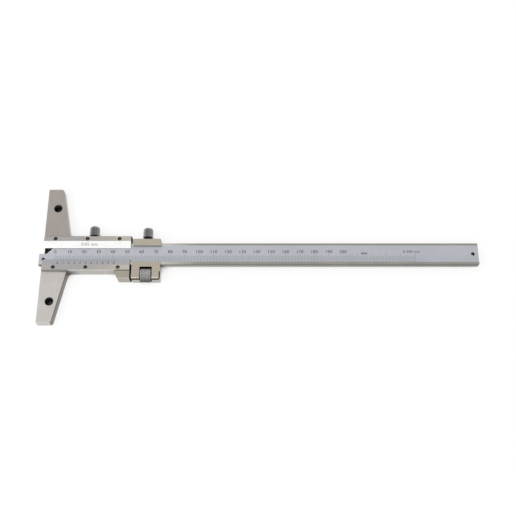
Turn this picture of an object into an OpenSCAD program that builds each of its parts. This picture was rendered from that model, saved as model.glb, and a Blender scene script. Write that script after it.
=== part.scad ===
// Vernier depth gauge, 200 mm, with a fine-adjustment carriage.
// It lies on its back: Z = 0 is the back face and the scales face +Z.
// X = 0 is the measuring face of the base. The beam runs along X, and Y = 0 is its centreline.
// All sizes are in millimetres.

/* [Beam] */
// Length of the beam from its tip to its far end
beam_l = 305; // [250:1:400]
// Width of the beam
beam_w = 16; // [14:0.5:18]
// Thickness of the beam
beam_t = 4; // [3.5:0.1:5]
// How far the tip stands out of the measuring face
tip_out = 2.5; // [0:0.1:5]
// Width of the narrow measuring tip
tip_w = 8.2; // [6:0.1:9]
// Length of the narrow tip before the slanted cut
tip_l = 5; // [4:0.1:7]
// Depth of the scale face below the two ground rails
scale_recess = 0.15; // [0.05:0.05:0.4]
// Width of the ground rail on the upper edge
upper_rail_w = 1.5; // [1:0.1:3]
// Width of the ground rail on the lower edge
lower_rail_w = 2.1; // [1:0.1:3]
// Diameter of the hole near the far end
end_hole_d = 2.6; // [2:0.1:3.5]
// Distance of that hole from the far end
end_hole_inset = 3.9; // [3:0.1:8]
// Diameter of the hole in the tip
tip_hole_d = 2.4; // [1.5:0.1:3]
// Distance of that hole from the tip
tip_hole_inset = 3.2; // [2.5:0.1:4]

/* [Base] */
// Length of the measuring face, across the beam
base_span = 100; // [80:1:150]
// Width of each arm where it leaves the slider frame
arm_root_w = 17.9; // [15:0.1:22]
// Width of each arm at its end
arm_tip_w = 10.3; // [8:0.1:13]
// Corner cut at the end of each arm
arm_tip_cut = 1; // [0.5:0.1:2.5]
// Radius of the fillet between an arm and the slider frame
root_fillet_r = 2.4; // [1:0.1:4]
// Diameter of the tapped holes for an extension base
ext_hole_d = 6; // [4:0.1:7]
// Depth of those holes
ext_hole_depth = 5; // [3:0.1:5.5]
// Distance between those holes
ext_hole_pitch = 69.6; // [50:0.1:80]
// Distance of those holes from the measuring face
ext_hole_x = 7.6; // [5:0.1:8]
// Bevel along the arms, the ear and the back edges
edge_bevel = 0.5; // [0.2:0.1:1]

/* [Slider frame] */
// Length of the slider frame along the beam
frame_l = 61.4; // [55:0.1:75]
// Width of the slider frame across the beam
frame_w = 26; // [24:0.1:30]
// Thickness of the wall behind the beam
back_wall = 2.4; // [1.5:0.1:4]
// Room for the leaf spring beside the beam
gib_gap = 1; // [0.7:0.05:1.3]
// Clearance all round the beam in its groove
slide_gap = 0.05; // [0.02:0.01:0.1]

/* [Ear of the frame] */
// Distance of the ear's outer side from the beam's centreline
ear_reach = 18.8; // [18:0.1:22]
// Length of the ear's outer side
ear_outer_l = 8.4; // [7:0.1:10]
// Length of the ear at the slider frame
ear_root_l = 11.2; // [10.5:0.1:15]
// Gap between the ear and the side of the vernier plate
ear_plate_gap = 0.1; // [0.03:0.01:0.3]

/* [Cover plates] */
// Thickness of the cover plates
plate_t = 2; // [1.6:0.1:3]
// Thickness of a plate at its thin inner edge
plate_edge_t = 0.4; // [0.2:0.05:0.8]
// Distance of the thin edges from the beam's centreline
plate_inner = 4.25; // [3.5:0.05:6]
// Distance of the bevels' upper edges from the beam's centreline
plate_flat = 8.95; // [7.5:0.05:10]
// Bevel on the outer edge of a plate
plate_bevel = 0.6; // [0.2:0.1:0.9]
// How far the plates stay behind the measuring face and the frame's end
plate_setback = 0.4; // [0.2:0.1:1]

/* [Plate screws] */
// Number of screws in each plate
screw_n = 3; // [2:1:4]
// Distance of the first screw from the measuring face
screw_first = 8.4; // [6:0.1:10]
// Distance between the screws
screw_pitch = 22.3; // [14:0.1:24]
// Distance of the screws from the beam's centreline
screw_y = 10.6; // [10.2:0.1:11]
// Diameter of a screw head
screw_head_d = 2.5; // [2:0.1:3]
// Height of a screw head
screw_head_h = 1.1; // [0.8:0.1:1.4]
// Depth of the heads below the plate's face
screw_sink = 0.2; // [0:0.05:0.3]
// Diameter of a screw's shank
screw_d = 1.6; // [1.2:0.1:1.8]
// Length of a screw's shank
screw_l = 3.4; // [2.5:0.1:4]
// Width of the slot in a head
screw_slot_w = 0.45; // [0.3:0.05:0.7]
// Depth of the slot in a head
screw_slot_depth = 0.5; // [0.3:0.05:0.7]
// Clearance round a screw in its hole
screw_gap = 0.08; // [0.03:0.01:0.15]

/* [Carriage] */
// Length of the carriage along the beam
carriage_l = 19.6; // [17:0.1:26]
// Gap between the slider frame and the carriage
carriage_gap = 1; // [0.7:0.1:4]
// Thickness of the carriage's front lips over the beam
carriage_lip_t = 2; // [1.5:0.1:3]
// Distance of the carriage's upper side from the beam's centreline
carriage_top = 11; // [10.5:0.1:14]
// Distance of the carriage's lower side from the beam's centreline
carriage_bottom = 19.1; // [18:0.1:22]
// Distance of the upper lip's edge from the beam's centreline
upper_lip_y = 5.8; // [5:0.1:7]
// Distance of the lower lip's edge from the beam's centreline
lower_lip_y = 6.55; // [5:0.05:7]
// Room for the leaf spring beside the beam in the carriage
carriage_gib_gap = 0.7; // [0.6:0.05:0.9]
// Bevel on the carriage's front edges
carriage_bevel = 0.6; // [0.3:0.1:1.2]
// Corner cuts on the upper block
carriage_corner = 0.9; // [0.3:0.1:1.5]
// How far the front part stays behind the lower side
carriage_step = 0.4; // [0.2:0.05:0.6]
// Height of that step above the back face
carriage_step_z = 6.8; // [6.6:0.1:7.2]
// How far the front part's lower corner stays behind the far end
carriage_notch = 0.6; // [0.3:0.1:0.8]
// Length of that notch along the far end
carriage_notch_l = 5.6; // [4:0.1:7]

/* [Fine adjustment] */
// Outer diameter of the knurled nut
nut_d = 9.8; // [8:0.1:10]
// Length of the knurled nut
nut_l = 8; // [5:0.1:9]
// Distance of the nut's axis from the beam's centreline
nut_axis_y = 15.4; // [15.1:0.1:15.8]
// Gap at each end of the nut in its window
nut_end_gap = 0.2; // [0.1:0.05:0.4]
// Gap between the nut and the inner side of its window
nut_side_gap = 0.3; // [0.2:0.05:0.6]
// Height of the nut's lowest point above the back face
nut_floor_gap = 0.05; // [0.05:0.05:0.5]
// Bevel at both ends of the nut
nut_bevel = 0.7; // [0.4:0.1:1]
// Number of teeth of the knurling
nut_teeth = 36; // [24:1:48]
// Depth of the knurling
knurl_depth = 0.25; // [0.15:0.05:0.4]
// Diameter of the feed screw
feed_d = 2.5; // [2:0.1:3]
// Clearance round the feed screw in the nut
feed_nut_gap = 0.05; // [0.03:0.01:0.1]
// Clearance round the feed screw in the carriage
feed_bore_gap = 0.25; // [0.15:0.05:0.4]
// Length of the feed screw inside the ear
feed_seat_l = 8; // [5:0.1:9]
// Length of the feed screw past the nut
feed_past_nut = 3.4; // [2:0.1:3.6]
// Depth of the bore past the end of the feed screw
feed_end_gap = 1.2; // [0.9:0.1:1.6]

/* [Clamp screws] */
// Distance of the frame's clamp screw from the measuring face
clamp_x = 34.6; // [34:0.1:48]
// Diameter of a clamp screw's knurled head
clamp_head_d = 7; // [6.9:0.1:8]
// Length of the head with its dome
clamp_head_l = 7.2; // [5:0.1:10]
// Radius of the dome's edge
clamp_dome_r = 1.8; // [0.8:0.1:2.2]
// Number of teeth of the heads' knurling
clamp_teeth = 30; // [20:1:40]
// Diameter of the smooth collar under a head
clamp_collar_d = 6.3; // [4:0.1:6.3]
// Diameter of the threaded stub
clamp_stub_d = 3; // [2.5:0.1:3.4]
// Gap under the head of the frame's clamp screw
frame_clamp_gap = 0.95; // [0.5:0.05:3]
// Gap under the head of the carriage's clamp screw
carriage_clamp_gap = 1.7; // [0.5:0.05:3]
// Gap under the collar
collar_gap = 0.12; // [0.1:0.01:0.3]
// Clearance round the stub in its hole
stub_gap = 0.06; // [0.03:0.01:0.1]

/* [Leaf springs] */
// Thickness of the leaf springs
gib_t = 0.3; // [0.2:0.05:0.4]
// How far a leaf spring stays behind the ends of its groove
gib_end_gap = 2.5; // [1:0.1:5]
// Height of the leaf springs above and below the middle of the beam
gib_half_h = 1.7; // [1:0.1:1.7]

/* [Hidden] */

// Levels, from the back face up
beam_z = back_wall + slide_gap;
beam_mid_z = beam_z + beam_t / 2;
frame_t = beam_z + beam_t + slide_gap;
plate_top = frame_t + plate_t;
carriage_t = frame_t + carriage_lip_t;
nut_z = nut_d / 2 + nut_floor_gap;
// Half widths and groove walls
beam_half = beam_w / 2;
base_half = base_span / 2;
frame_half = frame_w / 2;
groove_low = beam_half + slide_gap;
groove_high = beam_half + gib_gap;
carriage_groove_high = beam_half + carriage_gib_gap;
spring_face = beam_half + slide_gap;
// Places along the beam
plate_l = frame_l - 2 * plate_setback;
carriage_x = frame_l + carriage_gap;
carriage_mid_x = carriage_x + carriage_l / 2;
window_l = nut_l + 2 * nut_end_gap;
window_x = carriage_mid_x - window_l / 2;
nut_x = carriage_mid_x - nut_l / 2;
feed_end_x = nut_x + nut_l + feed_past_nut;
window_top = nut_axis_y - nut_d / 2 - nut_side_gap;
// Slope of an arm's outer edge
arm_slope = (arm_root_w - arm_tip_w) / (base_half - frame_half);
overlap = 1;
fine = 48;
// How far the fillets' rounds lie inside the sides that they join
fillet_tuck = 0.05;
// Share of the knurling's depth that is cut off its crests
crest_cut = 0.4;

// A profile in the YZ plane, drawn out along X from x0
module along_x(points, x0, length) {
    translate([x0, 0, 0]) rotate([90, 0, 90]) linear_extrude(length) polygon(points);
}

// A round bar along X
module bar_x(d, x0, length, y, z) {
    translate([x0, y, z]) rotate([0, 90, 0]) cylinder(d = d, h = length, $fn = fine);
}

// A round bar along Y
module bar_y(d, x, y0, length, z) {
    translate([x, y0, z]) rotate([-90, 0, 0]) cylinder(d = d, h = length, $fn = fine);
}

function arc(cx, cy, r, a0, a1, steps) =
    [for (i = [0 : steps]) let (a = a0 + (a1 - a0) * i / steps) [cx + r * cos(a), cy + r * sin(a)]];

// A toothed outline; its crests stand past the diameter, so that the turned form cuts them flat
function knurl_outline(d, teeth, depth) =
    [for (i = [0 : 2 * teeth - 1])
        let (r = d / 2 + (i % 2 == 0 ? crest_cut * depth : -depth), a = 180 * i / teeth)
        [r * cos(a), r * sin(a)]];

// Outline of one arm of the base, drawn in by inset on every side but the measuring face
function arm_outline(inset) = [
    [0, frame_half - overlap],
    [arm_root_w - inset, frame_half - overlap],
    [arm_root_w - inset, frame_half],
    [arm_tip_w + arm_tip_cut * arm_slope - inset, base_half - arm_tip_cut],
    [arm_tip_w - arm_tip_cut - inset / 2, base_half - inset],
    [0, base_half - inset]
];

// Outline of the ear that carries the feed screw
function ear_outline(inset) = [
    [frame_l - ear_root_l + inset, -frame_half + overlap],
    [frame_l - ear_root_l + inset, -frame_half],
    [frame_l - ear_outer_l + inset / 2, -ear_reach + inset],
    [frame_l, -ear_reach + inset],
    [frame_l, -frame_half + overlap]
];

// A flat body with a bevel round its front and back edges
module bevelled(outer, inner, thickness, bevel) {
    hull() {
        linear_extrude(thickness) polygon(inner);
        translate([0, 0, bevel]) linear_extrude(thickness - 2 * bevel) polygon(outer);
    }
}

module arm() {
    bevelled(arm_outline(0), arm_outline(edge_bevel), frame_t, edge_bevel);
}

// The ear stands beside the vernier plate and is flush with it
module ear() {
    difference() {
        bevelled(ear_outline(0), ear_outline(edge_bevel), plate_top, edge_bevel);
        translate([frame_l - ear_root_l - overlap, -frame_half - ear_plate_gap, frame_t])
            cube([ear_root_l + 2 * overlap, frame_half, plate_t + overlap]);
    }
}

// Fillet between an arm's sloping edge and the side of the slider frame, bevelled like the arm.
// Its round is tucked a little into both, so that it runs out on their sides.
module root_fillet() {
    r = root_fillet_r;
    n = sqrt(1 + arm_slope * arm_slope);
    reach = r - fillet_tuck;
    cx = arm_root_w + reach * (n - arm_slope);
    cy = frame_half + reach;
    touch_x = cx - r / n;
    touch_y = cy - r * arm_slope / n;
    difference() {
        linear_extrude(frame_t)
            polygon([[cx, cy], [touch_x, touch_y], [arm_root_w - 2 * overlap, touch_y],
                     [arm_root_w - 2 * overlap, frame_half - overlap], [cx, frame_half - overlap]]);
        translate([cx, cy, 0]) {
            translate([0, 0, -overlap]) cylinder(r = r, h = frame_t + 2 * overlap, $fn = fine);
            translate([0, 0, frame_t - edge_bevel])
                cylinder(r1 = r, r2 = r + edge_bevel + overlap, h = edge_bevel + overlap, $fn = fine);
        }
    }
}

// Section of the slider frame: a channel that is open to the front
function frame_section() = [
    [-frame_half, edge_bevel], [-frame_half + edge_bevel, 0],
    [frame_half - edge_bevel, 0], [frame_half, edge_bevel],
    [frame_half, frame_t], [groove_high, frame_t], [groove_high, back_wall],
    [-groove_low, back_wall], [-groove_low, frame_t], [-frame_half, frame_t]
];

module screw_places(side) {
    for (i = [0 : screw_n - 1])
        translate([screw_first + i * screw_pitch, side * screw_y, 0]) children();
}

module base_frame() {
    color([0.66, 0.64, 0.61])
    difference() {
        union() {
            along_x(frame_section(), 0, frame_l);
            for (side = [0, 1]) mirror([0, side, 0]) {
                arm();
                root_fillet();
            }
            ear();
        }
        for (side = [-1, 1]) {
            translate([ext_hole_x, side * ext_hole_pitch / 2, frame_t - ext_hole_depth])
                cylinder(d = ext_hole_d, h = ext_hole_depth + overlap, $fn = fine);
            screw_places(side)
                translate([0, 0, frame_t - screw_l])
                    cylinder(d = screw_d + 2 * screw_gap, h = screw_l + overlap, $fn = fine);
        }
        bar_y(clamp_stub_d + 2 * stub_gap, clamp_x, beam_half, frame_half - beam_half + overlap, beam_mid_z);
        bar_x(feed_d + 2 * slide_gap, frame_l - feed_seat_l - slide_gap, feed_seat_l + overlap, -nut_axis_y, nut_z);
    }
}

// Outline of the beam, with its narrow tip cut at 45 degrees
function beam_outline() =
    let (x0 = -tip_out, x1 = x0 + beam_l, step = beam_w - tip_w)
    [[x0, -beam_half], [x1 - edge_bevel, -beam_half], [x1, -beam_half + edge_bevel],
     [x1, beam_half - edge_bevel], [x1 - edge_bevel, beam_half],
     [x0 + tip_l + step, beam_half], [x0 + tip_l, beam_half - step], [x0, beam_half - step]];

module beam() {
    color([0.73, 0.74, 0.76])
    difference() {
        translate([0, 0, beam_z]) linear_extrude(beam_t) polygon(beam_outline());
        translate([-tip_out - overlap, -beam_half + lower_rail_w, beam_z + beam_t - scale_recess])
            cube([beam_l + 2 * overlap, beam_w - lower_rail_w - upper_rail_w, overlap]);
        translate([beam_l - tip_out - end_hole_inset, 0, beam_z - overlap])
            cylinder(d = end_hole_d, h = beam_t + 2 * overlap, $fn = fine);
        translate([tip_hole_inset - tip_out, -beam_half + tip_w / 2, beam_z - overlap])
            cylinder(d = tip_hole_d, h = beam_t + 2 * overlap, $fn = fine);
    }
}

// Section of a cover plate: flat outside, bevelled down to a thin edge over the beam
function plate_section() = [
    [plate_inner, frame_t], [frame_half, frame_t], [frame_half, plate_top - plate_bevel],
    [frame_half - plate_bevel, plate_top], [plate_flat, plate_top], [plate_inner, frame_t + plate_edge_t]
];

// A cover plate on the upper side, with counterbored holes for its screws
module cover_plate() {
    difference() {
        along_x(plate_section(), plate_setback, plate_l);
        screw_places(1) {
            translate([0, 0, frame_t - overlap])
                cylinder(d = screw_d + 2 * screw_gap, h = plate_t + 2 * overlap, $fn = fine);
            translate([0, 0, plate_top - screw_sink - screw_head_h])
                cylinder(d = screw_head_d + 2 * screw_gap, h = plate_t, $fn = fine);
        }
    }
}

module upper_cover_plate() {
    color([0.70, 0.68, 0.65]) cover_plate();
}

module vernier_plate() {
    color([0.69, 0.69, 0.71]) mirror([0, 1, 0]) cover_plate();
}

// One slotted cheese-head screw, standing at its place in the plate
module plate_screw() {
    head_z = plate_top - screw_sink - screw_head_h;
    translate([0, 0, head_z])
        difference() {
            union() {
                cylinder(d = screw_head_d, h = screw_head_h, $fn = fine);
                translate([0, 0, frame_t + screw_gap - screw_l - head_z])
                    cylinder(d = screw_d, h = head_z + screw_l - frame_t, $fn = fine);
            }
            translate([-screw_head_d, -screw_slot_w / 2, screw_head_h - screw_slot_depth])
                cube([2 * screw_head_d, screw_slot_w, overlap]);
        }
}

module upper_plate_screws() {
    color([0.20, 0.20, 0.21]) screw_places(1) plate_screw();
}

module vernier_plate_screws() {
    color([0.20, 0.20, 0.21]) screw_places(-1) plate_screw();
}

// A leaf spring, bowed from the groove's wall at its ends to the beam in the middle
module leaf_spring(x0, length, wall) {
    steps = 12;
    bow = wall - slide_gap - gib_t - spring_face;
    inner = [for (i = [0 : steps]) let (u = i / steps)
        [x0 + length * u, spring_face + bow * pow(2 * u - 1, 2)]];
    outer = [for (i = [steps : -1 : 0]) inner[i] + [0, gib_t]];
    translate([0, 0, beam_mid_z - gib_half_h])
        linear_extrude(2 * gib_half_h) polygon(concat(inner, outer));
}

module frame_gib_spring() {
    length = 2 * min(clamp_x, frame_l - clamp_x) - 2 * gib_end_gap;
    color([0.72, 0.60, 0.38]) leaf_spring(clamp_x - length / 2, length, groove_high);
}

module carriage_gib_spring() {
    length = carriage_l - 2 * gib_end_gap;
    color([0.72, 0.60, 0.38]) leaf_spring(carriage_x + gib_end_gap, length, carriage_groove_high);
}

// Half outline of a domed head that starts at height z0
function domed_outline(d, z0, length, dome_r) =
    concat([[0, z0], [d / 2 - 2 * knurl_depth, z0], [d / 2, z0 + knurl_depth]],
           arc(d / 2 - dome_r, z0 + length - dome_r, dome_r, 0, 75, 5),
           [[0, z0 + length]]);

// A clamp screw along Y: stub in the wall, smooth collar and knurled, domed head
module clamp_screw(x, seat, gap) {
    tip = spring_face + gib_t + slide_gap;
    translate([x, 0, beam_mid_z]) rotate([-90, 0, 0]) {
        translate([0, 0, tip]) cylinder(d = clamp_stub_d, h = seat + gap - tip, $fn = fine);
        translate([0, 0, seat + collar_gap])
            cylinder(d = clamp_collar_d, h = gap - collar_gap + overlap, $fn = fine);
        intersection() {
            translate([0, 0, seat + gap]) linear_extrude(clamp_head_l)
                polygon(knurl_outline(clamp_head_d, clamp_teeth, knurl_depth));
            rotate_extrude($fn = fine)
                polygon(domed_outline(clamp_head_d, seat + gap, clamp_head_l, clamp_dome_r));
        }
    }
}

module frame_clamp_screw() {
    color([0.42, 0.42, 0.43]) clamp_screw(clamp_x, frame_half, frame_clamp_gap);
}

module carriage_clamp_screw() {
    color([0.42, 0.42, 0.43]) clamp_screw(carriage_mid_x, carriage_top, carriage_clamp_gap);
}

// Section of the carriage: a block round the beam with two lips over its face and a stepped lower side
function carriage_section() =
    let (b = carriage_bevel, e = edge_bevel, front_y = carriage_step - carriage_bottom)
    [[-carriage_bottom, e], [-carriage_bottom + e, 0], [carriage_top - e, 0], [carriage_top, e],
     [carriage_top, carriage_t - b], [carriage_top - b, carriage_t],
     [upper_lip_y, carriage_t], [upper_lip_y, frame_t],
     [carriage_groove_high, frame_t], [carriage_groove_high, back_wall],
     [-groove_low, back_wall], [-groove_low, frame_t],
     [-lower_lip_y, frame_t], [-lower_lip_y, carriage_t],
     [front_y + b, carriage_t], [front_y, carriage_t - b], [front_y, carriage_step_z],
     [-carriage_bottom, carriage_step_z]];

// Front view of the carriage
function carriage_front() =
    let (x0 = carriage_x, x1 = carriage_x + carriage_l, c = carriage_corner, e = edge_bevel)
    [[x0 + e, -carriage_bottom], [x1 - e, -carriage_bottom], [x1, -carriage_bottom + e],
     [x1, carriage_top - c], [x1 - c, carriage_top], [x0 + c, carriage_top], [x0, carriage_top - c],
     [x0, -carriage_bottom + e]];

module carriage() {
    color([0.68, 0.66, 0.60])
    difference() {
        intersection() {
            along_x(carriage_section(), carriage_x, carriage_l);
            linear_extrude(carriage_t) polygon(carriage_front());
        }
        translate([carriage_x + carriage_l - carriage_notch, -carriage_bottom - overlap, carriage_step_z])
            cube([carriage_notch + overlap, carriage_notch_l + overlap, carriage_t]);
        translate([window_x, -carriage_bottom - overlap, -overlap])
            cube([window_l, carriage_bottom - window_top + overlap, carriage_t + 2 * overlap]);
        bar_x(feed_d + 2 * feed_bore_gap, carriage_x - overlap,
              feed_end_x + feed_end_gap - carriage_x + overlap, -nut_axis_y, nut_z);
        bar_y(clamp_stub_d + 2 * stub_gap, carriage_mid_x, beam_half,
              carriage_top - beam_half + overlap, beam_mid_z);
    }
}

module feed_screw() {
    x0 = frame_l - feed_seat_l;
    color([0.60, 0.60, 0.61]) bar_x(feed_d, x0, feed_end_x - x0, -nut_axis_y, nut_z);
}

// Half outline of the nut, with a bevel at both ends
function nut_outline() =
    let (r = nut_d / 2, bore = feed_d / 2 + feed_nut_gap, b = nut_bevel)
    [[bore, 0], [r - b, 0], [r, b], [r, nut_l - b], [r - b, nut_l], [bore, nut_l]];

module adjusting_nut() {
    color([0.55, 0.55, 0.55])
    translate([nut_x, -nut_axis_y, nut_z]) rotate([0, 90, 0])
        intersection() {
            linear_extrude(nut_l) polygon(knurl_outline(nut_d, nut_teeth, knurl_depth));
            rotate_extrude($fn = fine) polygon(nut_outline());
        }
}

base_frame();
beam();
upper_cover_plate();
vernier_plate();
upper_plate_screws();
vernier_plate_screws();
frame_gib_spring();
frame_clamp_screw();
carriage();
carriage_gib_spring();
carriage_clamp_screw();
feed_screw();
adjusting_nut();
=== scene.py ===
"""Looks of the vernier depth gauge: finishes, graduations, knurling, threads, screws, light and camera."""

import math
import random

import bmesh
import bpy
from mathutils import Matrix, Vector

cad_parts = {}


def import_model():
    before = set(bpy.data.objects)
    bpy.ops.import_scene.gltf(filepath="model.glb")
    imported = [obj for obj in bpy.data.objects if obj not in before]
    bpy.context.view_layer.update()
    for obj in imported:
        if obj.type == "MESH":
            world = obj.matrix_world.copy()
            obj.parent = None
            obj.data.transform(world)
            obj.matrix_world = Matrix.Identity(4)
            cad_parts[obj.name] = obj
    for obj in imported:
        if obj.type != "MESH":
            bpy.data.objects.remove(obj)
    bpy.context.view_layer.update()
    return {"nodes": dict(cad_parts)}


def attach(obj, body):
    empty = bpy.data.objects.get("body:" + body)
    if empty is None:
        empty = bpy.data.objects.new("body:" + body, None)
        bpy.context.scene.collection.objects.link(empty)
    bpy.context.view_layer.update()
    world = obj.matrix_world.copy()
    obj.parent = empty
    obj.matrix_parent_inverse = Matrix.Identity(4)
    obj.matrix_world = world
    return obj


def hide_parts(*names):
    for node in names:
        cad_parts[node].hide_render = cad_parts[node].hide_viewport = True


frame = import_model()
MM = 0.001
TAU = 2 * math.pi

# Sizes shared with the solids, in millimetres
SCALE_Z = 6.30                                      # the beam's sunken face, which carries the scale
BEAM_HALF_W = 8.0
END_HOLE, TIP_HOLE = (298.6, 0.0), (0.7, -3.9)      # the beam's two holes
PLATE_EDGE_Y, PLATE_EDGE_Z = 4.25, 6.9              # thin edge of a cover plate
PLATE_FLAT_Y, PLATE_TOP = 8.95, 8.5                 # where its bevel ends
PLATE_FAR_Y = 12.3
FRAME_T, FRAME_END_X = 6.5, 61.3
ARM_Y = 13.0                                        # the lower arm and the ear lie beyond it
SCREW_XS, SCREW_Y = (8.4, 30.7, 53.0), 10.6
MID_Z = 4.45                                        # height of the clamp screws' axes
LIP_Z = 6.8                                         # ledge of the carriage's stepped front
NUT_AXIS = (-15.4, 4.95)                            # y and z of the feed screw's axis
NUT_X, NUT_L, NUT_D = 68.2, 8.0, 9.8
FEED_X0, FEED_X1, FEED_D = 53.4, 79.6, 2.5
HOLE_X, HOLE_Y, HOLE_D, HOLE_DEPTH = 7.6, 34.8, 6.0, 5.0
CLAMPS = {"frame_clamp": (34.6, 13.0, 0.95), "carriage_clamp": (72.2, 11.0, 1.7)}   # x, seat's y, gap
STUB_Y0 = 8.4                                       # inner end of the clamp screws
BEVEL_TILT = math.atan2(PLATE_TOP - PLATE_EDGE_Z, PLATE_FLAT_Y - PLATE_EDGE_Y)


# ---------------------------------------------------------------- materials

def shader(name):
    """A material with one Principled shader, and what it takes to wire it."""
    mat = bpy.data.materials.new(name)
    mat.use_nodes = True
    nodes, links = mat.node_tree.nodes, mat.node_tree.links
    nodes.clear()
    out = nodes.new("ShaderNodeOutputMaterial")
    bsdf = nodes.new("ShaderNodeBsdfPrincipled")
    links.new(bsdf.outputs[0], out.inputs[0])
    return mat, nodes, links, bsdf


def noise(nodes, links, coords, scale, stretch=(1, 1, 1), detail=3.0, roughness=0.55):
    """Noise with features 1/scale metres wide, drawn out along an axis whose stretch is below 1."""
    mapping = nodes.new("ShaderNodeMapping")
    mapping.inputs["Scale"].default_value = [scale * s for s in stretch]
    links.new(coords, mapping.inputs["Vector"])
    tex = nodes.new("ShaderNodeTexNoise")
    tex.inputs["Scale"].default_value = 1.0
    tex.inputs["Detail"].default_value = detail
    tex.inputs["Roughness"].default_value = roughness
    links.new(mapping.outputs[0], tex.inputs["Vector"])
    return tex.outputs["Fac"]


def ranged(nodes, links, value, low, high, to_low, to_high):
    """Takes low to to_low and high to to_high, and holds the value beyond them."""
    node = nodes.new("ShaderNodeMapRange")
    for socket, number in zip(("From Min", "From Max", "To Min", "To Max"), (low, high, to_low, to_high)):
        node.inputs[socket].default_value = number
    links.new(value, node.inputs["Value"])
    return node.outputs["Result"]


def mixed(nodes, links, factor, a, b):
    """Colour a where the factor is 0 and b where it is 1. Each is a tuple or a socket."""
    node = nodes.new("ShaderNodeMix")
    node.data_type = "RGBA"
    links.new(factor, node.inputs["Factor"])
    for socket, colour in ((6, a), (7, b)):
        if isinstance(colour, tuple):
            node.inputs[socket].default_value = (*colour, 1)
        else:
            links.new(colour, node.inputs[socket])
    return node.outputs[2]


def math_of(nodes, links, operation, *values):
    """A Math node of sockets and plain numbers."""
    node = nodes.new("ShaderNodeMath")
    node.operation = operation
    for value, socket in zip(values, node.inputs):
        if isinstance(value, float):
            socket.default_value = value
        else:
            links.new(value, socket)
    return node.outputs[0]


def shaded(nodes, links, coords, colour, shades):
    """Deepens, lifts or tints a colour along an axis: (axis, from mm, to mm, factors there, factors here)."""
    split = nodes.new("ShaderNodeSeparateXYZ")
    links.new(coords, split.inputs[0])
    for axis, start, end, first, last in shades:
        first, last = (f if isinstance(f, tuple) else (f, f, f) for f in (first, last))
        place = ranged(nodes, links, split.outputs[axis], start * MM, end * MM, 0, 1)
        node = nodes.new("ShaderNodeVectorMath")
        node.operation = "MULTIPLY"
        links.new(colour, node.inputs[0])
        links.new(mixed(nodes, links, place, first, last), node.inputs[1])
        colour = node.outputs[0]
    return colour


ALONG_X, ALONG_Y, ROUND = (0.04, 1, 1), (1, 0.04, 1), (1, 1, 1)     # which way the grinding marks run
CLOUD_SCALE = 70                    # clouds of tarnish, about 14 mm wide
MARK_TONE = 0.9                     # the marks against the mean of the two colours
DARK_FILL_FROM_TO = (0.64, 0.86)        # how deep in a groove the dark fill begins and is full


def steel(name, light, dark, rough, grain=(1, 1, 1), grain_scale=2500, grain_depth=0.004,
          spread=0.06, shades=(), dark_fill=None, light_by_height=()):
    """Worked steel: grinding marks along the axis whose grain is below 1, and soft clouds of tarnish. shades:
    darker, lighter or tinted bands along the piece's own axes; most of them are painted light and shade.
    dark_fill darkens the grooves of a knurl, and is painted shade on the turned parts marked for it.
    light_by_height: painted light and shade by the height over the floor, for pieces that turn."""
    mat, nodes, links, bsdf = shader(name)
    coords = nodes.new("ShaderNodeTexCoord").outputs["Object"]
    marks = noise(nodes, links, coords, grain_scale, grain, 4.0, 0.6)
    clouds = noise(nodes, links, coords, CLOUD_SCALE, ROUND, 4.0, 0.55)
    tone = mixed(nodes, links, ranged(nodes, links, clouds, 0.35, 0.65, 0, 1), light, dark)
    fine = mixed(nodes, links, ranged(nodes, links, marks, 0.3, 0.7, 0, 1),
                 tuple(0.5 * (a + b) * MARK_TONE for a, b in zip(light, dark)), tone)
    if shades:
        fine = shaded(nodes, links, coords, fine, shades)
    # Painted light and shade by the height over the floor.
    if light_by_height:
        place = nodes.new("ShaderNodeNewGeometry").outputs["Position"]
        fine = shaded(nodes, links, place, fine, light_by_height)
    # Darker in the knurl's grooves; on the turned parts marked for it, the same fill is painted shade.
    if dark_fill:
        groove = nodes.new("ShaderNodeAttribute")
        groove.attribute_name = "groove"
        filled = ranged(nodes, links, groove.outputs["Fac"], *DARK_FILL_FROM_TO, 0, 1)
        fine = mixed(nodes, links, filled, fine, dark_fill)
    links.new(fine, bsdf.inputs["Base Color"])
    links.new(ranged(nodes, links, marks, 0.3, 0.7, rough - spread, rough + spread), bsdf.inputs["Roughness"])
    bsdf.inputs["Metallic"].default_value = 1.0
    bump = nodes.new("ShaderNodeBump")
    bump.inputs["Distance"].default_value = grain_depth * MM
    bump.inputs["Strength"].default_value = 1.0
    links.new(marks, bump.inputs["Height"])
    links.new(bump.outputs[0], bsdf.inputs["Normal"])
    return mat


def ink(name, colour):
    """Filling of the engraved marks, slightly uneven."""
    mat, nodes, links, bsdf = shader(name)
    coords = nodes.new("ShaderNodeTexCoord").outputs["Object"]
    spots = noise(nodes, links, coords, 3000, ROUND, 2.0)
    links.new(mixed(nodes, links, ranged(nodes, links, spots, 0.4, 0.7, 0, 1), colour,
                    tuple(1.6 * c for c in colour)), bsdf.inputs["Base Color"])
    links.new(ranged(nodes, links, spots, 0.3, 0.7, 0.45, 0.7), bsdf.inputs["Roughness"])
    return mat


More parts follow.
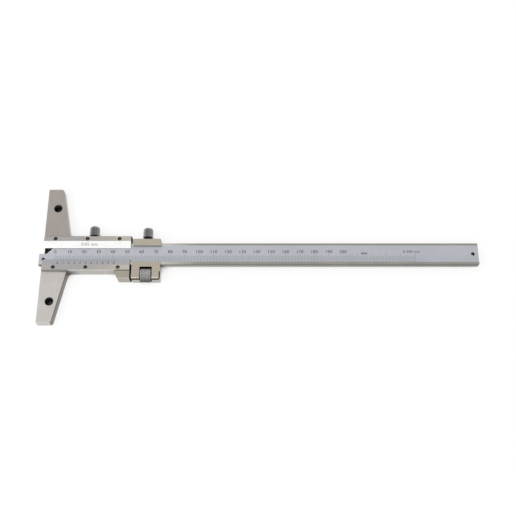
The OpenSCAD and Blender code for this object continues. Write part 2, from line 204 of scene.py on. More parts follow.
ground = steel("ground_steel", (0.488, 0.47, 0.453), (0.424, 0.404, 0.388), 0.30, ALONG_X,
               shades=[(0, 30, 56, 1.0, (1.24, 1.21, 1.09))])
# The frame's steel, painted near black from x 60.7 mm on: shade on the ledge in the slot by the carriage.
base = steel("base_steel", (0.46, 0.42, 0.386), (0.396, 0.357, 0.329), 0.32, ALONG_Y,
             shades=[(0, 60.7, 60.95, 1.0, 0.06)])
# The lower arm: lighter than the upper arm, partly its own tone and partly painted light for the way it
# catches the light.
lower_arm_lit = steel("lower_arm_lit_steel", (0.635, 0.61, 0.586), (0.55, 0.524, 0.5), 0.34, ALONG_Y)
# The slider's lower wall: painted shade by the arm's root and towards the ear.
frame_wall_shade = steel("frame_wall_painted_shade", (0.55, 0.525, 0.49), (0.47, 0.45, 0.415), 0.34, ALONG_X,
                  shades=[(0, 19.5, 27, 0.34, 1.0), (0, 45, 50, 1.0, 0.8)])
# The arm's side that faces the carriage: painted shade, dark all over and darker towards the root.
arm_side_shade = steel("arm_side_painted_shade", (0.276, 0.238, 0.207), (0.196, 0.170, 0.147), 0.36, ALONG_Y,
                  shades=[(1, -17.5, -14, 1.0, 0.55)])
# The vernier plate's far edge: painted shade over the arm's root and over the ear.
far_edge_shade = steel("far_edge_painted_shade", (0.488, 0.47, 0.453), (0.424, 0.404, 0.388), 0.30, ALONG_X,
                   shades=[(0, 18.0, 19.5, 0.48, 1.0), (0, 50.0, 51.5, 1.0, 0.36)])
# The ear; its end by the carriage is painted near black, shade in the gap.
ear_steel = steel("ear_steel", (0.463, 0.427, 0.355), (0.382, 0.353, 0.291), 0.32, ALONG_X,
                  shades=[(0, 61.05, 61.25, 1.0, 0.06)])
# The rails: painted sheen, lighter up to x 84 mm and fading by x 108 mm, by the carriage and at the tip; a
# painted dark reflection along the lower rail's edge; a little lighter towards the right end.
rail = steel("rail_painted_light", (0.377, 0.361, 0.335), (0.304, 0.291, 0.272), 0.26, ALONG_X,
             shades=[(0, 84, 108, 1.8, 1.0), (0, 150, 260, 1.0, 1.03), (1, -7.95, -7.6, 0.6, 1.0)])
# The beam's sides: painted shade in a band under the rail, near the floor and beside the carriage, and darker
# towards the right end.
beam_flank_shade = steel("beam_flank_painted_shade", (0.36, 0.34, 0.316), (0.29, 0.276, 0.256), 0.30, ALONG_X,
                  shades=[(2, 5.1, 5.6, 1.0, 0.4), (2, 2.4, 3.0, 0.8, 1.0), (0, 120, 280, 1.0, 0.78),
                          (0, 82.2, 86, 0.5, 1.04), (0, 120, 160, 1.0, 0.96)])
satin = steel("satin_chrome", (0.552, 0.57, 0.611), (0.505, 0.522, 0.563), 0.42, ROUND, 4500, 0.003,
              shades=[(1, -3, 0, 0.975, 1.02)])
vernier_satin = steel("vernier_satin", (0.513, 0.511, 0.537), (0.469, 0.468, 0.495), 0.42, ROUND, 4500, 0.003)
polished = steel("polished_bevel", (0.99, 0.99, 0.985), (0.95, 0.95, 0.945), 0.20, ALONG_X, spread=0.03)
carriage_steel = steel("carriage_steel", (0.519, 0.476, 0.388), (0.45, 0.408, 0.34), 0.30, ALONG_X,
                       shades=[(1, -2, 6, 1.0, 1.05)])
# The side of the carriage's step: painted shade along its top, in the seam under the ledge.
step_light = steel("step_side_seam_shade", (0.53, 0.51, 0.485), (0.455, 0.44, 0.415), 0.34, ALONG_X,
                   shades=[(2, 5.9, 6.4, 1.0, 0.2)])
# Walls of the arms' holes: dark, painted shade inside the holes.
hole_shade_dark = steel("hole_painted_shade", (0.11, 0.11, 0.11), (0.06, 0.06, 0.06), 0.4, ROUND, 3000, 0.002)
# Near black: painted shade on the screw heads' sides in their counterbores, and on the threads inside the
# arms' holes.
screw_painted_shade = steel("screw_painted_shade", (0.055, 0.055, 0.058), (0.03, 0.03, 0.032), 0.30, ROUND, 3000, 0.002)
# The clamp heads: painted reflection by height, darker on top and lighter at the sides.
knurl_grey = steel("knurled_steel", (0.445, 0.445, 0.433), (0.328, 0.328, 0.322), 0.36, ROUND, 3000, 0.003,
                   dark_fill=(0.06, 0.06, 0.058), light_by_height=[(2, 6.2, 7.9, 1.25, 0.75)])
# The nut: painted shade by height, darker lower down.
nut_grey = steel("knurled_nut_steel", (0.57, 0.56, 0.55), (0.43, 0.425, 0.42), 0.36, ROUND, 3000, 0.003,
                 dark_fill=(0.10, 0.10, 0.097), light_by_height=[(2, 6.9, 9.4, 0.28, 1.0)])
# Near black: painted shade in the channels, the window, the holes, the step and the gaps between the parts.
inner_shade_black = steel("painted_shade_black", (0.03, 0.03, 0.028), (0.014, 0.014, 0.013), 0.5, ROUND, 2500, 0.004)
# The carriage's lip over the beam: its edge face painted darker, for shade.
lip_shade_grey = steel("lip_edge_painted_shade", (0.39, 0.385, 0.365), (0.29, 0.284, 0.272), 0.4, ALONG_X)
# The clamp screws' collars: black, partly their own blackened finish and partly painted shade under the
# heads.
shaded_black_collar = steel("shaded_black_collar", (0.022, 0.022, 0.022), (0.012, 0.012, 0.012), 0.45, ROUND, 3000, 0.002)
# The screw heads' crowns: painted a little lighter than their sides, where light falls on them, and still
# darkened.
screw_crown_lit = steel("screw_crown_painted_light", (0.15, 0.143, 0.12), (0.085, 0.082, 0.068), 0.30, ROUND, 3000, 0.002)
feed_grey = steel("feed_steel", (0.40, 0.40, 0.39), (0.30, 0.30, 0.29), 0.28, ROUND, 3000, 0.002)
bronze = steel("spring_bronze", (0.55, 0.38, 0.17), (0.42, 0.28, 0.12), 0.32, ALONG_X)
black_ink = ink("scale_ink", (0.05, 0.05, 0.055))
grey_ink = ink("faint_ink", (0.12, 0.12, 0.12))


# ---------------------------------------------------------------- mesh helpers

def object_of(bm, name):
    """Turns a bmesh into an object of the scene, and frees it."""
    mesh = bpy.data.meshes.new(name)
    bm.to_mesh(mesh)
    bm.free()
    obj = bpy.data.objects.new(name, mesh)
    bpy.context.scene.collection.objects.link(obj)
    return obj


def add_piece(name, bm, body, mats, smooth_angle=None):
    """Turns a bmesh in millimetres into a piece that rides on a body."""
    bmesh.ops.scale(bm, vec=(MM, MM, MM), verts=bm.verts)
    obj = object_of(bm, name)
    mesh = obj.data
    for mat in mats if isinstance(mats, (list, tuple)) else [mats]:
        mesh.materials.append(mat)
    if smooth_angle:
        for face in mesh.polygons:
            face.use_smooth = True
        mesh.set_sharp_from_angle(angle=math.radians(smooth_angle))
    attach(obj, body)
    return obj


def add_box(bm, low, high, place=Matrix()):
    """A box between two corners, moved by place."""
    made = bmesh.ops.create_cube(bm, size=1.0)["verts"]
    low, high = Vector(low), Vector(high)
    for v in made:
        v.co = place @ (low + (v.co + Vector((0.5, 0.5, 0.5))) * (high - low))


def circle(radius, count):
    """Points of a circle about the origin."""
    return [(radius * math.cos(TAU * i / count), radius * math.sin(TAU * i / count)) for i in range(count)]


def ring_at(x, radius, count):
    """A ring about the X axis."""
    return [(x, *point) for point in circle(radius, count)]


def grid_of_rings(bm, rings, close_ends=True, flip=None):
    """Joins rings of equally many points into a tube. Its ends are closed, or else joined to each other.
    Where flip is given, each quad is cut in two, and flip(i, j) picks the diagonal."""
    rows = [[bm.verts.new(p) for p in ring] for ring in rings]
    count = len(rows[0])
    for j in range(len(rows) - 1):
        for i in range(count):
            a, b = rows[j][i], rows[j][(i + 1) % count]
            c, d = rows[j + 1][(i + 1) % count], rows[j + 1][i]
            if flip is None:
                bm.faces.new((a, b, c, d))
            elif flip(i, j):
                bm.faces.new((a, b, c))
                bm.faces.new((a, c, d))
            else:
                bm.faces.new((a, b, d))
                bm.faces.new((b, c, d))
    first, last = rows[0], rows[-1]
    if close_ends:
        bm.faces.new(list(reversed(first)))
        bm.faces.new(last)
    else:
        for i in range(count):
            bm.faces.new((last[i], last[(i + 1) % count], first[(i + 1) % count], first[i]))
    return rows


def finished(obj):
    """The mesh of an object with its modifiers applied."""
    return bpy.data.meshes.new_from_object(obj.evaluated_get(bpy.context.evaluated_depsgraph_get()))


KNURL_STEPS = 8                     # points a tooth


def tri_wave(value):
    """0 at whole numbers and 1 halfway between."""
    return 2 * abs(value - math.floor(value + 0.5))


def knurled_rings(profile, teeth, pitch, depth, radius, turned_shade):
    """Rings (height, points on the YZ circle) of a turned profile whose widest part carries a diamond knurl,
    and how deep each point lies in the knurl's grooves, from 0 to 1. Below the grooves, on the turned parts,
    the value is turned_shade(height), which puts painted shade where it is high."""
    rings, depths = [], []
    for height, r_turned in profile:
        ring, deep = [], []
        for i in range(KNURL_STEPS * teeth):
            u, v = i / KNURL_STEPS, height / pitch
            groove = max(tri_wave(u + v), tri_wave(u - v))
            angle = TAU * i / (KNURL_STEPS * teeth)
            r = min(r_turned, radius - depth * groove)
            ring.append((height, r * math.cos(angle), r * math.sin(angle)))
            deep.append(groove if r_turned > radius - depth else turned_shade(height))
        rings.append(ring)
        depths.append(deep)
    return rings, depths


def knurled_mesh():
    """An empty mesh whose points can say how deep in a groove they lie."""
    bm = bmesh.new()
    bm.verts.layers.float.new("groove")
    return bm


def mark_grooves(bm, rows, depths):
    """Writes the depths on the mesh's points, for the finish."""
    layer = bm.verts.layers.float["groove"]
    for row, deep in zip(rows, depths):
        for v, value in zip(row, deep):
            v[layer] = value


# ---------------------------------------------------------------- carried-over solids

WELD_GAP, SOFT_EDGE = 0.0005, 0.12              # mm
SAME_FACE, SHARP_EDGE = math.radians(1.0), math.radians(28)


def soften(node):
    """Joins the solid's faces and rounds its edges a little, with modifiers."""
    obj = frame["nodes"][node]
    weld = obj.modifiers.new("join", "WELD")
    weld.merge_threshold = WELD_GAP * MM
    flats = obj.modifiers.new("whole_faces", "DECIMATE")
    flats.decimate_type = "DISSOLVE"
    flats.angle_limit = SAME_FACE
    flats.delimit = {"MATERIAL"}
    bevel = obj.modifiers.new("soft_edges", "BEVEL")
    bevel.width = SOFT_EDGE * MM
    bevel.segments = 2
    bevel.limit_method = "ANGLE"
    bevel.angle_limit = SHARP_EDGE
    bevel.use_clamp_overlap = True
    even = obj.modifiers.new("even_shading", "WEIGHTED_NORMAL")
    even.mode = "FACE_AREA"
    even.keep_sharp = True


def dress(node, mats, choose=None):
    """Gives a solid its finishes; choose(centre in mm, normal) picks one for each face."""
    mesh = frame["nodes"][node].data
    mesh.materials.clear()
    for mat in mats:
        mesh.materials.append(mat)
    for face in mesh.polygons:
        face.material_index = choose([c / MM for c in face.center], face.normal) if choose else 0


SATIN, RAIL, BEAM_SIDE, BEAM_HOLE = range(4)
GROUND, BEVEL, PLATE_DARK, FAR_EDGE = range(4)
BASE, FRAME_DARK, LOWER_ARM, ARM_SIDE, EAR, FRAME_WALL, HOLE_WALL = range(7)
BODY, CARRIAGE_DARK, LIP, STEP_SIDE = range(4)


def around(x, y, hole, radius):
    """Whether a point lies within a radius of a hole's axis."""
    return math.hypot(x - hole[0], y - hole[1]) < radius


def beam_finish(centre, normal):
    """The sunken scale, the raised rails, the sides, and the walls of the two holes, painted near black for
    shade.
    """
    x, y, z = centre
    if abs(z - SCALE_Z) < 0.02:
        return SATIN
    if abs(normal[2]) < 0.5 and (around(x, y, END_HOLE, 1.5) or around(x, y, TIP_HOLE, 1.25)):
        return BEAM_HOLE
    return BEAM_SIDE if abs(normal[1]) > 0.9 and abs(y) > BEAM_HALF_W - 0.1 else RAIL


def plate_finish(centre, normal):
    """The bevel by the scale, the walls of the screws' holes and the plate's end by the carriage, painted
    near black for shade, the far edge, and the ground rest.
    """
    x, y = centre[:2]
    in_hole = abs(normal[2]) < 0.2 and any(around(x, abs(y), (sx, SCREW_Y), 1.45) for sx in SCREW_XS)
    if in_hole or abs(normal[0]) > 0.9 and x > FRAME_END_X - 0.4:
        return PLATE_DARK
    if abs(y) > PLATE_FAR_Y and (abs(normal[1]) > 0.9 or 0.6 < abs(normal[1]) < 0.8):
        return FAR_EDGE
    return BEVEL if 0.1 < abs(normal[1]) < 0.6 and normal[2] > 0.8 else GROUND


def frame_finish(centre, normal):
    """The channel for the beam and the end that faces the carriage are painted near black, for shade. The ear
    and the lower arm each have a finish of their own; the lower arm's is partly painted light, and the arm's
    side and the slider's lower wall carry painted shade."""
    x, y, z = centre
    # The walls of the arms' holes: painted shade.
    if around(x, abs(y), (HOLE_X, HOLE_Y), 3.1) and 1 < z < FRAME_T - 0.1:
        return HOLE_WALL
    in_channel = 0.3 < x < FRAME_END_X - 0.1 and -8.2 < y < 9.1 and z > 2.3
    faces_carriage = normal[0] > 0.9 and x > FRAME_END_X and z > 0.6
    if in_channel or faces_carriage:
        return FRAME_DARK
    ear_top = x > 49.9 and y < -ARM_Y and normal[2] > 0.5
    ear_side = x > 50.5 and y < -18
    if ear_top or ear_side:
        return EAR
    if x < 19.9 and y < -ARM_Y and normal[0] > 0.1 and abs(normal[2]) < 0.9:
        return ARM_SIDE
    if 16.9 < x < 50.3 and y < -12.4 and normal[1] < -0.5:
        return FRAME_WALL
    return LOWER_ARM if y < -12.9 else BASE


def carriage_finish(centre, normal):
    """The window, the channel, the ledge, the step and the end that faces the frame are painted near black,
    for shade. The lip's edge face and the step's side have finishes of their own, with painted shade.
    """
    x, y, z = centre
    if abs(y - 5.8) < 0.05 and z > 6.55:
        return LIP
    if normal[1] < -0.9 and y < -19 and z < LIP_Z:
        return STEP_SIDE
    on_ledge = normal[2] > 0.9 and abs(z - LIP_Z) < 0.05 and y < -ARM_Y
    in_window = 67.9 < x < 76.5 and -18.9 < y < -10.1 and abs(normal[2]) < 0.5
    in_channel = 62.5 < x < 81.9 and -8.2 < y < 8.8 and 2.3 < z < 6.55
    in_step = LIP_Z - 0.1 < z < 8.0 and (y < -18.65 or x > 81.3 and y < -13.4)
    faces_frame = normal[0] < -0.9 and x < 62.5
    return CARRIAGE_DARK if on_ledge or in_window or in_channel or in_step or faces_frame else BODY


dress("base_frame", [base, inner_shade_black, lower_arm_lit, arm_side_shade, ear_steel, frame_wall_shade, hole_shade_dark],
      frame_finish)
dress("beam", [satin, rail, beam_flank_shade, inner_shade_black], beam_finish)
dress("upper_cover_plate", [ground, polished, inner_shade_black, ground], plate_finish)
dress("vernier_plate", [ground, vernier_satin, inner_shade_black, far_edge_shade], plate_finish)
dress("carriage", [carriage_steel, inner_shade_black, lip_shade_grey, step_light], carriage_finish)
dress("frame_gib_spring", [bronze])
dress("carriage_gib_spring", [bronze])
for name in ("base_frame", "beam", "carriage", "upper_cover_plate", "vernier_plate"):
    soften(name)


# ---------------------------------------------------------------- graduations

MAIN_ZERO, MAIN_STEP, MAIN_COUNT = 8.5, 1.0, 250
VERNIER_ZERO, VERNIER_LENGTH, VERNIER_COUNT = 11.0, 39.0, 20
MAIN_FOOT, LONG_TOP, MIDDLE_TOP, SHORT_TOP = -5.85, 0.1, -0.7, -1.4     # y of the main scale's lines
LONG_FOOT, SHORT_FOOT = -2.3, -1.7                  # of the vernier's lines, from the bevel's thin edge
LINE_W, FINE_LINE_W = 0.14, 0.125
INK_T = 0.012
FONT_SIZE, FONT_SPACING = 1.37, 1.08                # against the height of its digits, and its own spacing
STRIKE_LIFT = 0.002                                 # keeps the faces of the two strikes apart


def bevel_place(side):
    """Puts a flat drawing, whose y runs up from the thin edge, on the bevel of the plate on that side."""
    tilt = Matrix.Rotation(side * BEVEL_TILT, 4, "X")
    return Matrix.Translation((0, side * PLATE_EDGE_Y, PLATE_EDGE_Z)) @ tilt


def letters(bm, text, size, centre, place, weight):
    """Adds text whose digits are size mm high, centred at a point of the drawing. It is struck twice,
    weight mm apart, which makes the strokes bolder."""
    curve = bpy.data.curves.new("letters", "FONT")
    curve.body = text
    curve.size = size * FONT_SIZE
    curve.space_character = FONT_SPACING
    curve.align_x, curve.align_y = "CENTER", "CENTER"
    curve.extrude = INK_T
    obj = bpy.data.objects.new("letters", curve)
    bpy.context.scene.collection.objects.link(obj)
    bpy.context.view_layer.update()
    for strike in (-0.5, 0.5):
        mesh = finished(obj)
        shift = (centre[0] + strike * weight, centre[1], STRIKE_LIFT * strike)
        mesh.transform(place @ Matrix.Translation(shift))
        bm.from_mesh(mesh)
        bpy.data.meshes.remove(mesh)
    bpy.data.objects.remove(obj)
    bpy.data.curves.remove(curve)


def main_scale():
    """The beam's lines every millimetre, its numbers every ten, its unit and its range."""
    place = Matrix.Translation((0, 0, SCALE_Z))
    lines, numbers = bmesh.new(), bmesh.new()
    for i in range(MAIN_COUNT + 1):
        x = MAIN_ZERO + i * MAIN_STEP
        top = LONG_TOP if i % 10 == 0 else MIDDLE_TOP if i % 5 == 0 else SHORT_TOP
        half = (LINE_W if i % 10 == 0 else FINE_LINE_W) / 2
        add_box(lines, (x - half, MAIN_FOOT, -INK_T), (x + half, top, INK_T), place)
        if i % 10 == 0 and i <= 200:
            letters(numbers, str(i), 2.35, (x, 1.65), place, 0.1)
    letters(numbers, "mm", 2.0, (223.2, 0.65), place, 0.28)
    letters(numbers, "0-200 mm", 1.9, (256, 1.75), place, 0.08)
    add_piece("main_scale_lines", lines, "beam", black_ink)
    add_piece("main_scale_numbers", numbers, "beam", black_ink)


def vernier_scale():
    """The vernier plate's lines and numbers, and the reading on the upper plate's bevel."""
    lines, numbers = bmesh.new(), bmesh.new()
    place = bevel_place(-1)
    for i in range(VERNIER_COUNT + 1):
        x = VERNIER_ZERO + i * VERNIER_LENGTH / VERNIER_COUNT
        long = i % 2 == 0
        foot = LONG_FOOT if long else SHORT_FOOT
        add_box(lines, (x - LINE_W / 2, foot, -INK_T), (x + LINE_W / 2, -0.02, INK_T), place)
        if long:
            letters(numbers, str(i // 2 % 10), 1.6, (x, -3.3), place, 0.14)
    add_piece("vernier_lines", lines, "frame", black_ink)
    add_piece("vernier_numbers", numbers, "frame", black_ink)
    reading = bmesh.new()
    letters(reading, "0.05 mm", 2.2, (32.2, 2.6), bevel_place(1), 0.05)
    add_piece("reading_mark", reading, "frame", grey_ink)


main_scale()
vernier_scale()


# ---------------------------------------------------------------- knurled pieces

def dome_profile(r0, x_end, dome_r, steps=7):
    """Rows of a rounded end that starts at radius r0 and ends flat at x_end."""
    rows = []
    turn, flat_part = math.radians(84), 0.75
    for k in range(1, steps + 1):
        a = turn * k / steps
        rows.append((x_end - dome_r + dome_r * math.sin(a), r0 - dome_r + dome_r * math.cos(a)))
    rows.append((x_end, (r0 - dome_r) * flat_part))
    return rows


def nut():
    """The adjusting nut, knurled from end to end, with bevelled ends and a bore."""
    pitch, teeth, depth, bevel, bore_bevel = 2.0, 22, 0.36, 0.7, 0.25
    r, bore, count = NUT_D / 2, FEED_D / 2 + 0.05, KNURL_STEPS * teeth
    step = pitch / KNURL_STEPS
    rows = [(0, r - bevel)]
    k = 1
    while k * step < NUT_L - 0.05:
        x = k * step
        rows.append((x, min(r, r - bevel + x, r - bevel + NUT_L - x)))
        k += 1
    rows.append((NUT_L, r - bevel))
    # The bevelled ends get the dark fill: painted shade between the nut and the window's walls.
    rings, depths = knurled_rings(rows, teeth, pitch, depth, r, lambda height: 0.95)
    rings = [ring_at(0, bore + bore_bevel, count)] + rings + [ring_at(NUT_L, bore + bore_bevel, count)]
    rings += [ring_at(NUT_L - bore_bevel, bore, count), ring_at(bore_bevel, bore, count)]
    bm = knurled_mesh()
    made = grid_of_rings(bm, rings, close_ends=False, flip=lambda i, j: (i - j + 1) % 4 == 0)
    mark_grooves(bm, made[1:-3], depths)
    bmesh.ops.recalc_face_normals(bm, faces=bm.faces)
    bmesh.ops.translate(bm, vec=(NUT_X, NUT_AXIS[0], NUT_AXIS[1]), verts=bm.verts)
    piece = add_piece("knurled_nut", bm, "adjusting_nut", nut_grey, 25)
    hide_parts("adjusting_nut")


def clamp(body, node, piece_name):
    """A clamp screw: a knurled head with a rounded end, on a black collar and a plain stub. The collar's
    black is partly painted shade under the head, and the chamfer at the head's base is painted dark for
    shade.
    """
    x, seat, gap = CLAMPS[body]
    head_d, head_l, dome_r, depth, pitch, teeth = 7.0, 7.2, 1.8, 0.22, 1.14, 34
    chamfer, chamfer_slope, chamfer_end = 0.5, 1.4, 0.4
    collar_r, stub_r, stub_bevel, count = 3.15, 1.5, 0.25, 48
    r = head_d / 2
    step = pitch / KNURL_STEPS
    rows = [(0, r - chamfer)]
    k = 1
    while k * step < head_l - dome_r:
        rows.append((k * step, min(r, r - chamfer + k * step * chamfer_slope)))
        k += 1
    rows += dome_profile(r, head_l, dome_r)
    bm = knurled_mesh()
    # The chamfer at the head's base gets the dark fill, painted shade above the collar; the dome gets none.
    rings, depths = knurled_rings(rows, teeth, pitch, depth, r,
                                  lambda height: 1.0 if height < chamfer_end else 0.0)
    mark_grooves(bm, grid_of_rings(bm, rings, flip=lambda i, j: (i - j) % 4 == 0), depths)
    collar = bmesh.new()
    stub_end, start = STUB_Y0 - seat - gap, -gap + 0.12
    turned = ((stub_end, stub_r - stub_bevel), (stub_end + stub_bevel, stub_r), (start, stub_r),
              (start, collar_r - 0.15), (start + 0.15, collar_r), (chamfer_end, collar_r))
    grid_of_rings(collar, [ring_at(height, radius, count) for height, radius in turned])
    for face in collar.faces:
        face.material_index = 1
    mesh = bpy.data.meshes.new("part")
    collar.to_mesh(mesh)
    bm.from_mesh(mesh)
    collar.free()
    bpy.data.meshes.remove(mesh)
    bmesh.ops.recalc_face_normals(bm, faces=bm.faces)
    place = Matrix.Translation((x, seat + gap, MID_Z)) @ Matrix.Rotation(math.pi / 2, 4, "Z")
    bmesh.ops.transform(bm, matrix=place, verts=bm.verts)
    piece = add_piece(piece_name, bm, body, [knurl_grey, shaded_black_collar], 25)
    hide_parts(node)


nut()
clamp("frame_clamp", "frame_clamp_screw", "frame_clamp_knob")
clamp("carriage_clamp", "carriage_clamp_screw", "carriage_clamp_knob")


# ---------------------------------------------------------------- threads and screws

def threaded_bar():
    """The feed screw, with its thread's real relief and a bevelled end."""
    pitch, segments, depth, rows_per_turn = 0.45, 24, 0.27, 4
    r = FEED_D / 2
    count = int((FEED_X1 - FEED_X0) / pitch * rows_per_turn)
    bm = bmesh.new()
    rings = []
    for k in range(count + 1):
        x = FEED_X0 + (FEED_X1 - FEED_X0) * k / count
        limit = min(r, r - 0.35 + (FEED_X1 - x))
        ring = []
        for i in range(segments):
            radius = min(limit, r - depth * tri_wave(x / pitch - i / segments))
            a = TAU * i / segments
            ring.append((x, NUT_AXIS[0] + radius * math.cos(a), NUT_AXIS[1] + radius * math.sin(a)))
        rings.append(ring)
    grid_of_rings(bm, rings)
    bmesh.ops.recalc_face_normals(bm, faces=bm.faces)
    piece = add_piece("feed_thread", bm, "frame", feed_grey, 50)
    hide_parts("feed_screw")


def hole_threads():
    """Inner threads of the two tapped holes in the arms, with their mouths' lead-in."""
    pitch, segments, depth, rows_per_turn = 1.0, 48, 0.5, 6
    r_out, r_root = HOLE_D / 2 + 0.03, HOLE_D / 2 - 0.02
    bottom, top = FRAME_T - HOLE_DEPTH + 0.01, FRAME_T - 0.35
    count = int((top - bottom) / pitch * rows_per_turn)
    bm = bmesh.new()
    for side in (1, -1):
        rings = []
        for k in range(count + 1):
            z = bottom + (top - bottom) * k / count
            ring = []
            for i in range(segments):
                radius = r_root - depth * (1 - tri_wave(z / pitch - i / segments)) * (1 if k < count else 0)
                a = TAU * i / segments
                ring.append((HOLE_X + radius * math.cos(a), side * HOLE_Y + radius * math.sin(a), z))
            rings.append(ring)
        for z in (top, bottom):
            rings.append([(HOLE_X + u, side * HOLE_Y + v, z) for u, v in circle(r_out, segments)])
        grid_of_rings(bm, rings, close_ends=False)
    bmesh.ops.recalc_face_normals(bm, faces=bm.faces)
    # Near black: painted shade inside the holes.
    add_piece("arm_hole_threads", bm, "frame", screw_painted_shade, 50)


def screw_heads(side, node, piece_name):
    """Three slotted screws with domed heads, each slot at its own angle."""
    rng = random.Random(7 + side)
    bm = bmesh.new()
    r, h, sink, dome_h, segments = 1.25, 1.1, 0.2, 0.75, 40
    slot_half_w, slot_depth, slot_reach = 0.22, 0.5, 2
    shank = ((-2.2, 0.6), (-2.0, 0.8), (0, 0.8), (0, r))
    turns = [k * math.pi / 16 for k in range(8)]
    dome = [(h - dome_h + dome_h * math.sin(a), r * math.cos(a)) for a in turns]
    lit_crown_z = PLATE_TOP - sink - 0.4
    for x in SCREW_XS:
        head = bmesh.new()
        rings = [[(u, v, z) for u, v in circle(radius, segments)] for z, radius in (*shank, *dome)]
        grid_of_rings(head, rings)
        bmesh.ops.recalc_face_normals(head, faces=head.faces)
        cut = bmesh.new()
        add_box(cut, (-slot_reach, -slot_half_w, h - slot_depth), (slot_reach, slot_half_w, h + 1))
        body, cutter = object_of(head, "head"), object_of(cut, "slot")
        mod = body.modifiers.new("slot", "BOOLEAN")
        mod.operation, mod.solver, mod.object = "DIFFERENCE", "EXACT", cutter
        bpy.context.view_layer.update()
        final = finished(body)
        final.transform(Matrix.Translation((x, side * SCREW_Y, PLATE_TOP - sink - h))
                        @ Matrix.Rotation(rng.uniform(0, math.pi), 4, "Z"))
        # The crown, where light falls, gets the lighter paint; the rest of the head gets the painted shade.
        for face in final.polygons:
            face.material_index = 1 if face.normal[2] > 0.7 and face.center[2] > lit_crown_z else 0
        bm.from_mesh(final)
        meshes = [body.data, cutter.data, final]
        for obj in (body, cutter):
            bpy.data.objects.remove(obj)
        for mesh in meshes:
            bpy.data.meshes.remove(mesh)
    piece = add_piece(piece_name, bm, "frame", [screw_painted_shade, screw_crown_lit], 35)
    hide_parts(node)


threaded_bar()
hole_threads()
screw_heads(1, "upper_plate_screws", "upper_screws")
screw_heads(-1, "vernier_plate_screws", "vernier_screws")


# ---------------------------------------------------------------- stage, light and camera

FLOOR_HALF, FLOOR_PLACE = 3.0, (0.15, 0, -0.00003)              # in metres
FLOOR_GLOW = 0.78                                   # how much of the open floor's white is its own
SHADOW_REACH, SHADOW_FROM_TO = 9, (0.25, 0.5)       # in mm, and how open the floor is where the glow sets in
PHOTO_PX, FOCAL_PX, SENSOR_MM = 516, 816, 36.0      # the photo's side, and the focal length in its pixels
CAMERA_TARGET, CAMERA_DISTANCE, CAMERA_ELEVATION = (149.4, -2.65, 5.5), 566.5, 68      # mm, mm, degrees


def stage():
    """A pale floor. It glows for the camera and for reflections, apart from where the object covers it, so
    that it is white with the object's shadow on it."""
    bm = bmesh.new()
    bmesh.ops.create_grid(bm, x_segments=1, y_segments=1, size=FLOOR_HALF)
    floor = object_of(bm, "floor")
    floor.location = FLOOR_PLACE
    mat, nodes, links, bsdf = shader("floor")
    bsdf.inputs["Base Color"].default_value = (0.96, 0.96, 0.96, 1)
    bsdf.inputs["Roughness"].default_value = 0.9
    bsdf.inputs["Specular IOR Level"].default_value = 0.0
    glow = nodes.new("ShaderNodeEmission")
    glow.inputs["Color"].default_value = (1, 1, 1, 1)
    glow.inputs["Strength"].default_value = 1.0
    path = nodes.new("ShaderNodeLightPath")
    seen = math_of(nodes, links, "MAXIMUM", path.outputs["Is Camera Ray"], path.outputs["Is Glossy Ray"])
    glowing = math_of(nodes, links, "MULTIPLY", seen, FLOOR_GLOW)
    under = nodes.new("ShaderNodeAmbientOcclusion")
    under.inputs["Distance"].default_value = SHADOW_REACH * MM
    open_floor = ranged(nodes, links, under.outputs["AO"], *SHADOW_FROM_TO, 0, 1)
    mix = nodes.new("ShaderNodeMixShader")
    links.new(math_of(nodes, links, "MULTIPLY", open_floor, glowing), mix.inputs[0])
    links.new(bsdf.outputs[0], mix.inputs[1])
    links.new(glow.outputs[0], mix.inputs[2])
    out = next(n for n in nodes if n.type == "OUTPUT_MATERIAL")
    links.new(mix.outputs[0], out.inputs[0])
    floor.data.materials.append(mat)


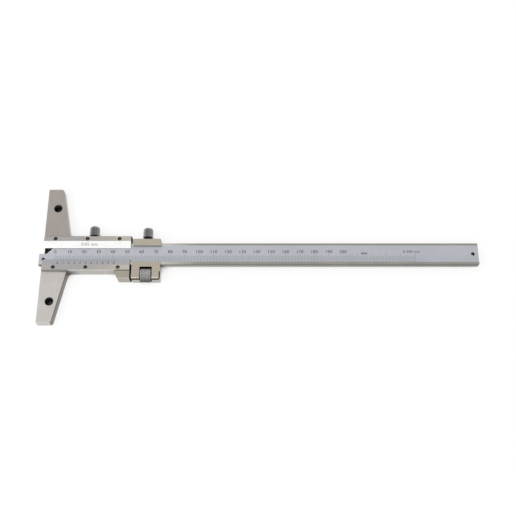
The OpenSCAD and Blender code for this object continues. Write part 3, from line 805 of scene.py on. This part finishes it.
def world():
    """A pale room: brightest overhead and in front, greyer at the back and the sides. At the horizon it is as
    white as the floor."""
    w = bpy.data.worlds.new("studio")
    bpy.context.scene.world = w
    w.use_nodes = True
    nodes, links = w.node_tree.nodes, w.node_tree.links
    nodes.clear()
    out = nodes.new("ShaderNodeOutputWorld")
    room = nodes.new("ShaderNodeBackground")
    direction = nodes.new("ShaderNodeTexCoord").outputs["Generated"]
    lean = nodes.new("ShaderNodeVectorMath")
    lean.operation = "DOT_PRODUCT"
    lean.inputs[1].default_value = (0, -0.5, 1)     # up, and a little towards the camera
    links.new(direction, lean.inputs[0])
    over = ranged(nodes, links, lean.outputs["Value"], 0.62, 0.84, 0.80, 1.0)
    split = nodes.new("ShaderNodeSeparateXYZ")
    links.new(direction, split.inputs[0])
    across = math_of(nodes, links, "ABSOLUTE", split.outputs["X"])
    sides = ranged(nodes, links, across, 0.45, 0.9, 1.0, 0.8)
    upward = math_of(nodes, links, "ABSOLUTE", split.outputs["Z"])
    horizon = ranged(nodes, links, upward, 0.3, 0.5, 1.0, 0.0)
    level = math_of(nodes, links, "MAXIMUM", math_of(nodes, links, "MULTIPLY", over, sides), horizon)
    links.new(level, room.inputs["Color"])
    room.inputs["Strength"].default_value = 1.0
    links.new(room.outputs[0], out.inputs[0])


def lamp(name, location, target, size, power):
    """A soft rectangular lamp that looks at the target. Lengths are in metres, power is in watts."""
    data = bpy.data.lights.new(name, "AREA")
    data.shape = "RECTANGLE"
    data.size, data.size_y = size
    data.energy = power
    obj = bpy.data.objects.new(name, data)
    obj.location = location
    obj.rotation_euler = (Vector(target) - Vector(location)).to_track_quat("-Z", "Y").to_euler()
    bpy.context.scene.collection.objects.link(obj)


def camera():
    """The photo's camera, as it was fitted to the scale's numbers, the beam's edges and the base."""
    data = bpy.data.cameras.new("camera")
    data.sensor_width = SENSOR_MM
    data.lens = SENSOR_MM * FOCAL_PX / PHOTO_PX
    data.clip_start, data.clip_end = 0.01, 10
    obj = bpy.data.objects.new("camera", data)
    pitch = math.radians(CAMERA_ELEVATION)
    back = Vector((0, -math.cos(pitch), math.sin(pitch)))
    obj.location = (Vector(CAMERA_TARGET) + back * CAMERA_DISTANCE) * MM
    obj.rotation_euler = (math.pi / 2 - pitch, 0, 0)
    bpy.context.scene.collection.objects.link(obj)
    bpy.context.scene.camera = obj


stage()
world()
lamp("key", (-0.45, -0.95, 1.0), (0.10, 0.0, 0.0), (1.2, 0.8), 7.0)
lamp("fill", (-1.0, 0.25, 0.95), (0.15, 0.0, 0.0), (0.9, 0.9), 3.0)
camera()
bpy.context.scene.view_settings.view_transform = "Standard"
